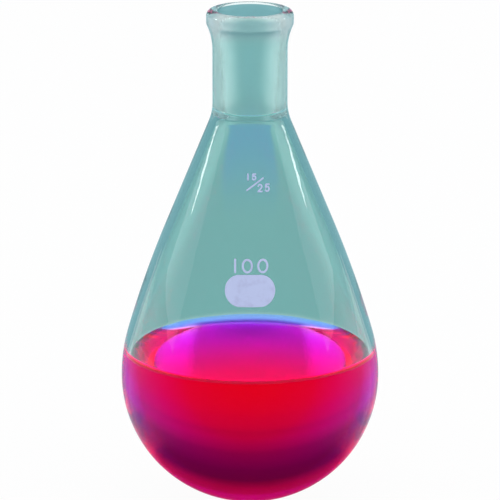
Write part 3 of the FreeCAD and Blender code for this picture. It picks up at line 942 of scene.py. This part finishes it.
def floor_colour(nodes):
    """The floor's colour by the path of the light, and 1 where that came through liquid.

    Distance is the length of (x, y) from the flask's axis, and the round card is read by it.
    The flag lies ahead, where |x| < FLAG_SPREAD * y, and close under the bulb it has a
    painted red glow. Dry is 1 for light that has crossed two walls and no liquid: only that
    sees the blue card and, where |x| lies between the pale cards' edges, the pale cards.
    """
    place = object_place(nodes)
    parts = parts_of(nodes, place)
    across = calculate(nodes, "ABSOLUTE", parts["X"])
    flat, length = nodes.new("ShaderNodeVectorMath"), nodes.new("ShaderNodeVectorMath")
    flat.operation, length.operation = "MULTIPLY", "LENGTH"
    flat.inputs[1].default_value = (1.0, 1.0, 0.0)
    nodes.id_data.links.new(place, flat.inputs[0])
    nodes.id_data.links.new(flat.outputs["Vector"], length.inputs[0])
    distance = length.outputs["Value"]
    card = colour_band(nodes, distance, CARD, CARD_REACH)
    ahead = calculate(nodes, "LESS_THAN", across, both(nodes, parts["Y"], FLAG_SPREAD))
    below = ramp(nodes, distance, *UNDER_EDGE, 1.0, 0.0)
    flagged = calculate(nodes, "MAXIMUM", ahead, below)
    colour, wet, two_walls = seen_inside(nodes, (1.0, 1.0, 1.0), card, flagged, 0.0,
                                         mix_colour(nodes, below, FLAG, UNDER_GLOW))
    dry = both(nodes, two_walls, without(nodes, wet))
    pale = both(nodes, dry, ramp(nodes, across, *SIDE_CARD_NEAR),
                ramp(nodes, across, *SIDE_CARD_FAR, 1.0, 0.0))
    blue = both(nodes, dry, blue_card(nodes, across, parts["Y"]))
    return mix_colour(nodes, blue, mix_colour(nodes, pale, colour, SIDE_CARD), BLUE_CARD), wet


# %% The floor
LIT_SHARE = 0.96
FLOOR_REACH, FLOOR_GAP = 4.0, 0.0003


def paper_material():
    """White paper that gives white light where it is seen, and is plain paper otherwise.

    The light's share is a little under 1, and the rest is real paper with the real shadow.
    """
    material, nodes, links, paper = new_material("white_paper")
    paper.inputs["Base Color"].default_value = (0.9, 0.9, 0.9, 1.0)
    paper.inputs["Roughness"].default_value = 0.9
    paper.inputs["Specular IOR Level"].default_value = 0.0
    path = nodes.new("ShaderNodeLightPath").outputs
    seen = calculate(nodes, "MAXIMUM", path["Is Camera Ray"], path["Is Glossy Ray"])
    seen = calculate(nodes, "MAXIMUM", seen, path["Is Transmission Ray"])
    colour, wet = floor_colour(nodes)
    light, mixed = nodes.new("ShaderNodeEmission"), nodes.new("ShaderNodeMixShader")
    links.new(colour, light.inputs["Color"])
    lit = calculate(nodes, "MAXIMUM", both(nodes, seen, LIT_SHARE), wet)
    links.new(lit, mixed.inputs["Fac"])
    links.new(paper.outputs["BSDF"], mixed.inputs[1])
    links.new(light.outputs["Emission"], mixed.inputs[2])
    links.new(mixed.outputs["Shader"], nodes["Material Output"].inputs["Surface"])
    return material


def make_floor():
    """A wide square just under the bulb."""
    height = float(outline[:, 1].min()) * MM - FLOOR_GAP
    corners = [(-FLOOR_REACH, -FLOOR_REACH, height), (FLOOR_REACH, -FLOOR_REACH, height),
               (FLOOR_REACH, FLOOR_REACH, height), (-FLOOR_REACH, FLOOR_REACH, height)]
    mesh = bpy.data.meshes.new("floor")
    mesh.from_pydata(corners, [], [(0, 1, 2, 3)])
    mesh.materials.append(paper_material())
    floor = bpy.data.objects.new("floor", mesh)
    scene.collection.objects.link(floor)
    print(f"floor: {-height / MM:.2f} mm under the mouth")


make_floor()

# %% The room
ROOM = (0.80, 0.82, 0.86)
ROOM_THROUGH_LIQUID = [(0.00, (0.6, 0.8, 3.2)), (0.10, (0.3, 0.3, 1.7)),
                       (0.25, (0.16, 0.06, 0.85)), (0.37, (0.14, 0.04, 0.55)),
                       (0.53, (0.5, 0.03, 0.36)), (0.66, (0.6, 0.1, 0.36)),
                       (0.72, (0.8, 0.8, 0.86))]
FLAG_TOP = (0.55, 0.65)
MIRROR_LOW, MIRROR_HIGH = (0.08, 0.12), (0.42, 0.48)


def make_room():
    """A pale room, white straight to the camera; through the liquid it has a darker band.

    All of it is read by the upward part of the direction looked in, from -1 down to 1 up: low
    is 1 under the top of the flag, and mirrored is 1 in the stretch that the liquid's surface
    throws back to the camera.
    """
    world = bpy.data.worlds.new("studio")
    scene.world = world
    world.use_nodes = True
    nodes, links = world.node_tree.nodes, world.node_tree.links
    upward = parts_of(nodes, nodes.new("ShaderNodeTexCoord").outputs["Generated"])["Z"]
    low = ramp(nodes, upward, *FLAG_TOP, 1.0, 0.0)
    mirrored = both(nodes, ramp(nodes, upward, *MIRROR_LOW),
                    ramp(nodes, upward, *MIRROR_HIGH, 1.0, 0.0))
    band = colour_band(nodes, upward, ROOM_THROUGH_LIQUID)
    room, _, _ = seen_inside(nodes, ROOM, band, low, mirrored)
    straight = nodes.new("ShaderNodeLightPath").outputs["Is Camera Ray"]
    seen = mix_colour(nodes, straight, room, (1.0, 1.0, 1.0))
    links.new(seen, nodes["Background"].inputs["Color"])
    print("room:", world.name)


make_room()

# %% The lamps
LAMPS = [("strip", (0.74, 0.178, 0.158), (0.10, 0.024), 0.12),
         ("softbox", (0.80, 0.05, 0.20), (0.55, 0.30), 0.85)]
LAMP_AIM = (0.0, 0.0, -0.06)


def softbox(name, place, size, power):
    """A rectangular lamp that looks at the flask, and shows in the glass but not through it."""
    lamp = bpy.data.lights.new(name, "AREA")
    lamp.shape = "RECTANGLE"
    lamp.size, lamp.size_y = size
    lamp.energy = power
    holder = bpy.data.objects.new(name, lamp)
    scene.collection.objects.link(holder)
    holder.visible_transmission = False
    holder.location = place
    towards = np.array(LAMP_AIM) - np.array(place)
    tilt = math.atan2(math.hypot(towards[0], towards[1]), -towards[2])
    holder.rotation_euler = (tilt, 0.0, math.atan2(-towards[0], towards[1]))
    print(f"{name}: {power} W")


for side, side_name in ((-1.0, "left"), (1.0, "right")):
    for kind, (across, back, height), size, power in LAMPS:
        softbox(f"{kind}_{side_name}", (side * across, back, height), size, power)
# Light crosses up to twelve faces here and is thrown back between them.
scene.cycles.glossy_bounces = 16
scene.cycles.transmission_bounces = 24
scene.cycles.max_bounces = 32

# %% [markdown]
# ## The camera
#
# The photograph looks a little down into the mouth from in front, so that the rim and the
# liquid's surface are narrow ovals. Height and dip were fitted to those ovals and to the
# outline. A long lens from a metre away fills the picture and keeps the sides straight.

# %% Place the camera
CAMERA_DISTANCE, CAMERA_HEIGHT, CAMERA_DIP, LENS, SENSOR = 1.0, 0.2075, 15.02, 301.1, 36.0
camera_data = bpy.data.cameras.new("camera")
camera_data.lens = LENS
camera_data.sensor_width = SENSOR
camera_data.clip_start = 0.01
camera = bpy.data.objects.new("camera", camera_data)
scene.collection.objects.link(camera)
camera.location = (0.0, -CAMERA_DISTANCE, CAMERA_HEIGHT)
camera.rotation_euler = (math.radians(90.0 - CAMERA_DIP), 0.0, 0.0)
scene.camera = camera
scene.view_settings.view_transform = "Standard"
print("camera:", [round(part, 4) for part in camera.location])
